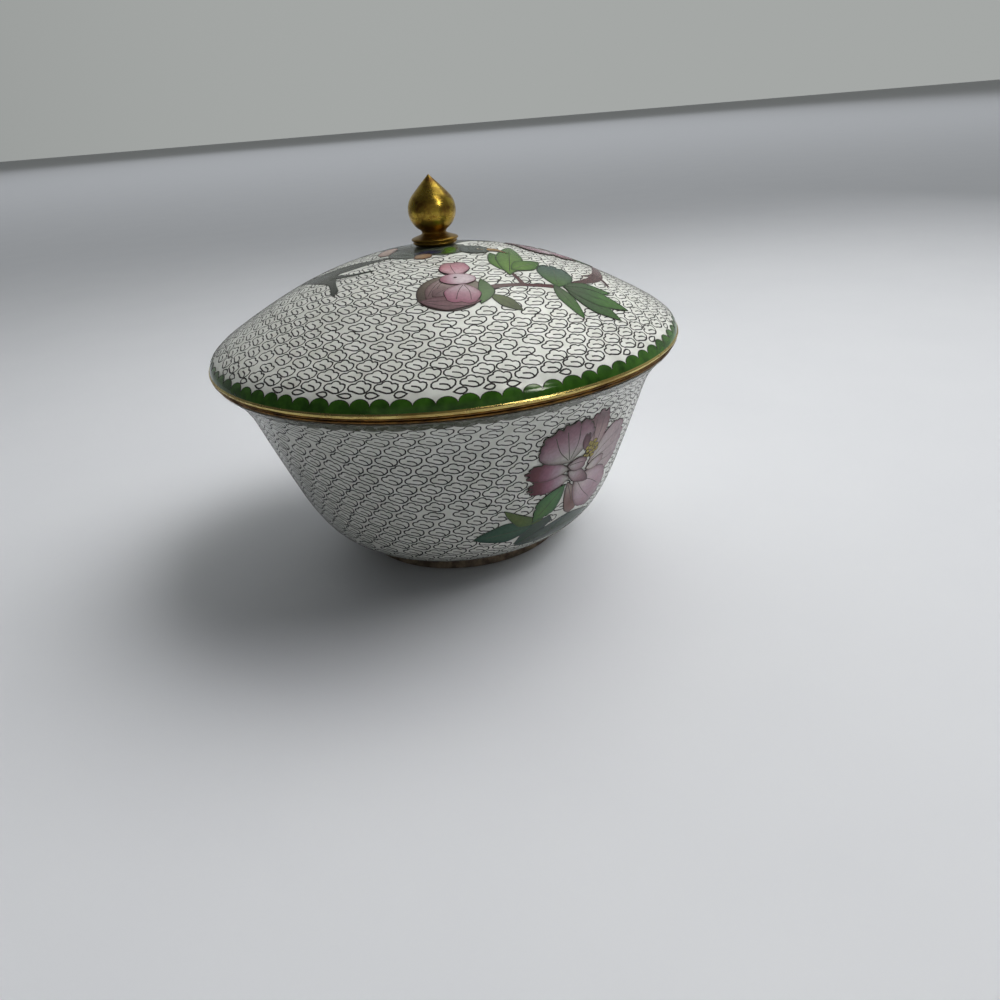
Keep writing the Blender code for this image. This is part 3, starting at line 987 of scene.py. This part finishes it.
# the tail, two thin feathers, the body, four patches on it, two wings, the head, the beak and the eye
BIRD = [
    Field(0, [
        [(-12.6, -10.3), (-17, -8.9), (-21, -7), (-26, -4.2), (-31, -1.8), (-37, 0.6), (-43, 3.4)],
        [(-45.2, 2), (-42.6, -2.4), (-39.2, -8.7), (-35.7, -13.9)],
        [(-33.4, -12.4), (-29.8, -10.4)],
        [(-27, -11), (-22, -11.2), (-17.5, -10.9), (-12.6, -11.1)],
    ], FEATHER, (-12, -10), (-40, -4), rim="#2c2f2b", **PLUMAGE,
        creases=[[(-14, -10.4), (-21, -9.2), (-28, -6.8), (-35, -4.4), (-42, -0.8)],
                 [(-22, -7.6), (-29, -4.2), (-37, -1.4)], [(-20, -10.6), (-28, -9.2), (-34, -9.6)]]),
    Field(1, [
        [(-37.4, -10.8), (-35.7, -13.7), (-33.7, -17), (-32.5, -22), (-32, -26.2), (-31.3, -28.2)],
        [(-30, -25.6), (-30.8, -20.4), (-31.2, -16.4), (-31.4, -13.2)],
        [(-34, -11)],
    ], TAIL_TIP, (-36, -11), (-31, -26), half=0.12),
    Field(1, stroke([(-32.4, -12.2), (-28.2, -15.4), (-24.5, -17.4), (-19.2, -18.8)], [3.0, 1.7, 1.4, 0.8]),
          TAIL_TIP, (-32, -12), (-20, -19), half=0.12),
    Field(1, [
        [(-12.6, -3), (-14.6, -7.6), (-13.4, -11.6), (-9.4, -14.4), (-6.2, -15.2), (-2, -14.2), (3, -15.2),
         (7.6, -13)],
        [(9.4, -9), (8.6, -3)],
        [(4, -2), (-4, -2)],
    ], ("#5d625b", "#4b5249", "#59604f", "#4b5147"), (-14, -9), (9, -9), rim="#2c302b", reach=0.5, half=0.15,
        creases=[[(-13, -6), (-10.6, -10), (-7.4, -12.4)], [(-9.6, -4), (-8, -8.4), (-5.8, -10.6)],
                 [(6, -3.4), (7.4, -7.6), (6.6, -12)]]),
    Field(2, [
        [(-6.9, -11.6), (-4.2, -9.9), (-0.6, -9.6), (2.6, -11)],
        [(2.2, -12.6), (-0.4, -13.4), (-3.4, -12.8)],
    ], ("#3f4450", "#303350", "#3c444c"), (-6, -11), (2, -12), rim="#22242f", **FINE),
    Field(3, [
        [(-6.4, -13.4), (-3.8, -12.7), (-1.5, -13.9)],
        [(-1.8, -16.4), (-4.2, -17.4)],
        [(-6.6, -16.2), (-6.4, -13.4)],
    ], ("#a18a70", "#8f7358"), (-3, -13), (-4, -17), rim="#6a4c32", **FINE),
    Field(2, [
        [(1.6, -14.2), (1.9, -10.8), (3.2, -7.4), (5.4, -7.2)],
        [(6.2, -10.4), (5.6, -14)],
    ], ("#567a2c", "#3c5c22"), (4, -8), (3, -14), rim="#26400f", **FINE),
    Field(2, [
        [(-14.4, 5), (-18, 1), (-17.6, -5), (-14.8, -7)],
        [(-12.6, -2), (-12, 3)],
    ], ("#bfa294", "#a08578"), (-13, 0), (-18, 0), rim="#76605a", reach=0.6, half=0.12),
    Field(0, [
        [(-3.6, 4), (-4.4, 11), (-7.4, 19.6)],
        [(-9.4, 15.8)], [(-12.4, 18.8)], [(-12.8, 14.4)], [(-16.6, 15.8)], [(-15.6, 11.2)], [(-19.2, 10.6)],
        [(-16.4, 5), (-12.6, -1), (-9, -4)],
        [(-6, -4), (-4, -3)],
    ], WING, (-8, -3), (-12, 18), rim="#272a30", **PLUMAGE,
        creases=[[(-7.4, 0), (-8.2, 8), (-9.4, 15.4)], [(-8.8, 1), (-10.8, 8), (-12.8, 14)],
                 [(-10.2, 1), (-13, 6.6), (-15.6, 10.8)]]),
    Field(0, [
        [(8, 2), (12.4, 6.4), (19.4, 9)],
        [(15.8, 10)], [(18, 13.4)], [(13.2, 12.6)], [(13.6, 17)], [(9.8, 13.6)], [(8.6, 18)],
        [(5.6, 10), (3.6, 3), (2, -2)],
        [(4, -3), (5, -3)],
    ], WING, (5, -2), (13, 14), rim="#272a30", **PLUMAGE,
        creases=[[(6.4, 2), (11, 6.6), (15.6, 9.8)], [(5.8, 2.6), (9.4, 7.6), (12.8, 12.2)],
                 [(5.2, 3), (7.6, 8.4), (9.6, 13)]]),
    Field(3, [
        [(10.4, -14.4), (14.2, -13.6), (16.4, -11.2)],
        [(16, -8), (12.8, -5.6), (8.8, -5.4)],
        [(7.2, -8.6), (7.4, -12.8)],
    ], ("#4b524c", "#3c423d", "#565b52"), (8, -9), (16, -9), rim="#282c28", **PLUMAGE,
        creases=[[(9.4, -6.4), (10.2, -9.8), (9.2, -13.4)]]),
    Field(4, [
        [(18.4, -11.4), (21.6, -13)],
        [(18.4, -9), (16, -8.6)],
        [(15.2, -10), (15.8, -11.6)],
    ], ("#8f6f40", "#6f5430"), (15.6, -10), (21.6, -12.6), half=0.12),
    Field(4, [
        [(14.2, -10.2), (13.2, -9.2), (12.2, -10.2), (13.2, -11.2)],
    ], ("#c3bfa8", "#aaa58c"), (12.6, -10), (14, -10), half=0.1),
    Field(5, [
        [(13.8, -10.2), (13.2, -9.6), (12.6, -10.2), (13.2, -10.8)],
    ], ("#1f1d1b", "#1a1816"), (12.6, -10), (14, -10), bare=True),
]

# the peony on the far side of the lid is the bowl's flower, turned and drawn smaller
BACK_FLOWER = [field.moved(118, 0.74, 36.5, 5.5) for field in PEONY[4:]]
# the sprig on the far side of the bowl is the lid's bud and leaves, turned upright, on a stem of its own
SPRIG_BUD = [field.moved(160, 0.95, 6, -36) for field in BUD[:6] + BUD[7:]]
# the copied lid leaves keep their painted sheen
SPRIG_LEAVES = [field.moved(-12, 0.85, -42, 22) for field in CLUSTER[6:9] + CLUSTER[12:]] + [
    Field(0, stroke([(5.6, 1.6), (1.6, -3.4), (-2.4, -10.4), (-8.6, -17.4), (-17, -22)],
                    [1.6, 1.5, 1.5, 1.6, 2.2]), TWIG, (2, 2), (-17, -22)),
    Field(1, [
        [(-3.6, -12.2), (1, -13.4), (5.4, -17), (9.4, -23)],
        [(3.4, -22.6), (-1.4, -20), (-4.2, -15.6)],
    ], LEAF_BRIGHT, (-3, -12), (11, -15), rim="#2f5a20", reach=0.5,
        creases=[[(-3.6, -12.8), (1.8, -16.6), (8.4, -22)]]),
]


# ---------------------------------------------------------------- the rims, the foot and the knob

def make_bowl_rim():
    """The gilt ring on the bowl's mouth: flat inside and below, and rounded outside."""
    low, high = corners("bowl_rim")
    inner, edge = 70.9, high.x - 0.4
    outline = [
        (inner, low.z), (edge - 0.5, low.z), (edge + 0.1, low.z + 0.1), (edge + 0.36, low.z + 0.3),
        (edge + 0.38, low.z + 0.6), (edge + 0.2, high.z - 0.12), (edge - 0.1, high.z), (inner + 0.2, high.z),
        (inner, high.z - 0.15),
    ]
    # the whole ring takes the darker gilding: partly tarnish, mostly painted shade under the lid's edge
    piece("bowl_gilt_rim", spun(outline, RIM_SIDES), [TARNISHED_SHADED_GILT], "bowl_rim")


def make_lid_rim():
    """The gilt ring on the lid's edge: a lower bead, a groove and a brighter upper bead outside, and the
    flange that drops inside the bowl's mouth."""
    low, high = corners("lid_rim")
    edge, seat = high.x - 0.55, 67.5
    flange = [
        (67.2, seat + 0.8), (67.2, low.z + 0.2), (67.4, low.z), (68.4, low.z), (68.6, low.z + 0.2),
        (68.6, seat),
    ]
    lower_bead = [(-0.5, 0), (-0.18, 0.04), (-0.02, 0.18), (-0.02, 0.36), (-0.16, 0.48), (-0.3, 0.52)]
    upper_bead = [
        (-0.3, 0.8), (-0.05, 0.88), (0.14, 1.0), (0.22, 1.16), (0.22, 1.32), (0.14, 1.48), (-0.02, 1.64),
        (-0.2, 1.82), (-0.3, 1.6),
    ]
    beads = [(edge + out, seat + up) for out, up in lower_bead + upper_bead]
    bm = spun(flange + beads + [(edge - 1.0, high.z), (71.5, high.z), (71.5, seat + 0.8)], RIM_SIDES)
    # the upper outer bead takes the bright gilding, and the rest the darker copy: painted shade on its
    # groove, lower bead and flange
    for face in bm.faces:
        centre = face.calc_center_median()
        upper = centre.z / MM > seat + 0.6 and math.hypot(centre.x, centre.y) / MM > 73.5
        face.material_index = 0 if upper else 1
    piece("lid_gilt_rim", bm, [GILT, TARNISHED_SHADED_GILT], "lid_rim")


def make_foot():
    """The foot ring, with its edges worn round."""
    outline = [
        (33.4, 0.3), (33.7, 0), (35.9, 0), (36.2, 0.35), (36.05, 1.2), (35.85, 2.4), (35.7, 3.4), (35.5, 3.6),
        (33.6, 3.6), (33.4, 3.4),
    ]
    piece("cast_brass_foot", spun(outline, FOOT_SIDES), [BRASS_FOOT], "foot_ring")


def make_knob():
    """The turned knob: a lotus bud on a flared neck, over a plate of two steps."""
    bud = [KNOB.section(along) for along in spread(0, KNOB.length, 0.4)]
    neck = [(3.85, 101.2), (4.15, 100.9), (4.8, 100.6), (5.8, 100.28), (6.8, 99.94)]
    plate = [
        (7.2, 99.74), (7.36, 99.52), (7.3, 99.3), (7.05, 99.14), (6.75, 99.04), (6.7, 98.84), (6.86, 98.7),
        (6.92, 98.46), (6.8, 98.24), (6.5, 98.1), (6.3, KNOB_LOW.z), (0, KNOB_LOW.z),
    ]
    outline = [(max(radius, 0), height) for radius, height in bud] + neck + plate
    bm = spun(outline, KNOB_SIDES, closed=False)
    piece("turned_brass_knob", bm, [BRASS_KNOB], "finial")


# ---------------------------------------------------------------- making

# every spread and choice below is drawn from this, in this order
luck = random.Random(7)

make_shell(
    "bowl_enamelled_shell", BOWL, BOWL_LOW.z, BOWL_TOP.z, "bowl_body", floor=BOWL_LOW.z + WALL,
)
make_shell("lid_enamelled_shell", LID, LID_LOW.z, LID_TOP.z, "lid_shell")

MOTIFS = (
    ("bowl_peony_enamel", PEONY_SHEET, BOWL, PEONY + stamen_fields(4, luck), "bowl_enamel"),
    ("bowl_back_sprig_enamel", SPRIG_SHEET, BOWL, SPRIG_BUD + SPRIG_LEAVES, "bowl_enamel"),
    ("lid_bud_and_leaves_enamel", LID_SHEET, LID, BUD + CLUSTER, "lid_enamel"),
    ("lid_bird_enamel", LID_SHEET, LID, BIRD, "lid_enamel"),
    ("lid_back_peony_enamel", LID_SHEET, LID, BACK_FLOWER, "lid_enamel"),
)
petal_wires, leaf_wires, covered = {BOWL: [], LID: []}, {BOWL: [], LID: []}, {BOWL: [], LID: []}
for name, sheet, skin, fields, slot_name in MOTIFS:
    outlines = fire_fields(name, sheet, skin, fields)
    field_wires(sheet, fields, outlines, petal_wires[skin], leaf_wires[skin])
    covered[skin] += [(sheet, outline) for outline in outlines]
for skin, part in ((BOWL, "bowl"), (LID, "lid")):
    lay_wires(part + "_petal_wires", skin, petal_wires[skin], PETAL_WIRE)
    lay_wires(part + "_leaf_wires", skin, leaf_wires[skin], LEAF_WIRE)

rows = cloud_rows(BOWL, *BOWL_ROWS, luck)
clouds = cloud_wires(BOWL, rows, covered[BOWL], luck, *BOWL_CLOUD)
lay_wires("bowl_cloud_wires", BOWL, clouds, DARK_WIRE)
rows = cloud_rows(LID, *LID_ROWS, luck)
clouds = cloud_wires(LID, rows, covered[LID], luck, *LID_CLOUD)
clouds += drop_wires(LID, rows[0], LID_DROPS, luck)
lay_wires("lid_cloud_wires", LID, clouds, DARK_WIRE)

lobed, line = lobed_border(LID, *LID_BORDER, luck)
piece("lid_green_border", lobed, [GREEN_GLASS])
lay_wires("lid_border_wire", LID, [(line, True, LID_BORDER_HALF, GLASS_RISE)], BLACK_WIRE)
lobed, line = lobed_border(BOWL, *BOWL_BORDER, luck)
piece("bowl_olive_border", lobed, [OLIVE_GLASS])
lay_wires("bowl_border_wire", BOWL, [(line, True, BOWL_BORDER_HALF, GLASS_RISE)], BLACK_WIRE)

make_bowl_rim()
make_lid_rim()
make_foot()
make_knob()


# ---------------------------------------------------------------- stage, in metres

MIDDLE = Vector((0, 0, 0.05))

# each lamp's azimuth, elevation and distance from the bowl's middle, its width and height, its power in watts
# and its tint. Unmirrored, it lights the glass but isn't seen in its shine. Undiffused, it is seen only there
LAMPS = (
    ("back_right_window", (50, 62, 0.6), (0.35, 0.35), 0.7, "#fcfdf6", {}),
    ("right_window", (14, 50, 0.9), (0.85, 0.85), 2.4, "#fdfdff", {"mirrored": False, "beam": 75}),
    ("low_right_window", (30, 20, 0.9), (0.8, 0.5), 0.5, "#fdfdff", {"mirrored": False}),
    ("low_lamp", (-47, 36, 0.8), (0.08, 0.16), 0.7, "#fffdf2", {"diffused": False}),
    ("high_lamp", (-38, 58, 0.8), (0.08, 0.34), 0.75, "#fffdf2", {"diffused": False}),
    ("front_card", (-90, 18, 0.9), (1.3, 0.6), 0.42, "#fff8e8", {"diffused": False}),
)
# washes of light on the floor further off, which barely reach the bowl: their azimuth, distance and power
WASHES = ((90, 5, 120), (180, 7, 30), (270, 7, 15), (0, 7, 75))
WASH_HEIGHT, WASH_SIZE = 2, (8.0, 8.0)

# the camera's place, the way it looks, in degrees, and its lens and sensor in millimetres
CAMERA_PLACE = (0, -0.2479, 0.1318)
YAW, PITCH, ROLL = 3.15, 27.0, -4.70
LENS, SENSOR = 27, 36


def stage_floor():
    bm = bmesh.new()
    bmesh.ops.create_grid(bm, x_segments=2, y_segments=2, size=30.0)
    # painted board: pale, even and barely shiny, so the bowl's shadow stays soft
    finish, tree = new_finish("matt_white_board")
    place = add(tree, "TexCoord").outputs["Object"]
    cloud = add(tree, "TexNoise", {"Vector": place, "Scale": per(60.0), "Detail": 4.0, "Roughness": 0.55})
    shades = {0: cloud, 6: colour("#d3d4d6"), 7: colour("#cdced1")}
    tone = add(tree, "Mix", shades, data_type="RGBA").outputs[2]
    surface(tree, {"Base Color": tone, "Roughness": 0.55})
    put_mesh("pale_floor", bm, [finish])


def soft_light(name, place, aim, size, watts, tint, mirrored=True, diffused=True, beam=180):
    """A soft box at a place, facing a point."""
    data = bpy.data.lights.new(name, "AREA")
    data.shape = "RECTANGLE"
    data.size, data.size_y = size
    data.energy = watts
    data.color = colour(tint)[:3]
    data.spread = math.radians(beam)
    lamp = put(name, data)
    lamp.visible_camera = False
    lamp.visible_glossy = mirrored
    lamp.visible_diffuse = diffused
    turn = (place - aim).to_track_quat("Z", "Y").to_matrix().to_4x4()
    lamp.matrix_world = Matrix.Translation(place) @ turn


def from_bowl(azimuth, elevation, distance):
    """A place seen from the bowl's middle. Azimuth is from +X, anticlockwise, in degrees."""
    a, e = math.radians(azimuth), math.radians(elevation)
    return MIDDLE + Vector((math.cos(a) * math.cos(e), math.sin(a) * math.cos(e), math.sin(e))) * distance


def grey_room():
    """The room round the table: paler behind the bowl, and darker in front of it."""
    world = bpy.data.worlds.new("grey_room")
    world.use_nodes = True
    tree = world.node_tree
    heading = add(tree, "TexCoord").outputs["Generated"]
    behind = (0.3, 0.95, 0.0)
    toward = add(tree, "VectorMath", {0: heading, 1: behind}, operation="DOT_PRODUCT").outputs["Value"]
    reach = {"Value": toward, "From Min": -0.2, "From Max": 1.0}
    far = add(tree, "MapRange", reach, interpolation_type="SMOOTHSTEP")
    tone = add(tree, "Mix", {0: far, 6: colour("#434546"), 7: colour("#a5a8a6")}, data_type="RGBA").outputs[2]
    sky = tree.nodes["Background"]
    tree.links.new(tone, sky.inputs["Color"])
    sky.inputs["Strength"].default_value = 1.0
    bpy.context.scene.world = world


def make_camera():
    """The camera stands close in front of the bowl and looks down on it, a little to the right and tilted."""
    yaw, pitch, roll = math.radians(YAW), math.radians(PITCH), math.radians(ROLL)
    ahead = Vector((math.sin(yaw) * math.cos(pitch), math.cos(yaw) * math.cos(pitch), -math.sin(pitch)))
    level = Vector((math.cos(yaw), -math.sin(yaw), 0))
    above = level.cross(ahead)
    right = level * math.cos(roll) + above * math.sin(roll)
    upright = above * math.cos(roll) - level * math.sin(roll)
    data = bpy.data.cameras.new("camera")
    data.lens, data.sensor_width, data.clip_start = LENS, SENSOR, 0.01
    camera = put("camera", data)
    turn = Matrix((right, upright, -ahead)).transposed().to_4x4()
    camera.matrix_world = Matrix.Translation(CAMERA_PLACE) @ turn
    bpy.context.scene.camera = camera


stage_floor()
grey_room()
for name, (azimuth, elevation, distance), size, watts, tint, limits in LAMPS:
    soft_light(name, from_bowl(azimuth, elevation, distance), MIDDLE, size, watts, tint, **limits)
for azimuth, distance, watts in WASHES:
    place = from_bowl(azimuth, 0, distance) + UP * WASH_HEIGHT
    soft_light("floor_wash", place, place - UP, WASH_SIZE, watts, "#f6f9ff", mirrored=False)
make_camera()
bpy.context.scene.view_settings.view_transform = "Standard"
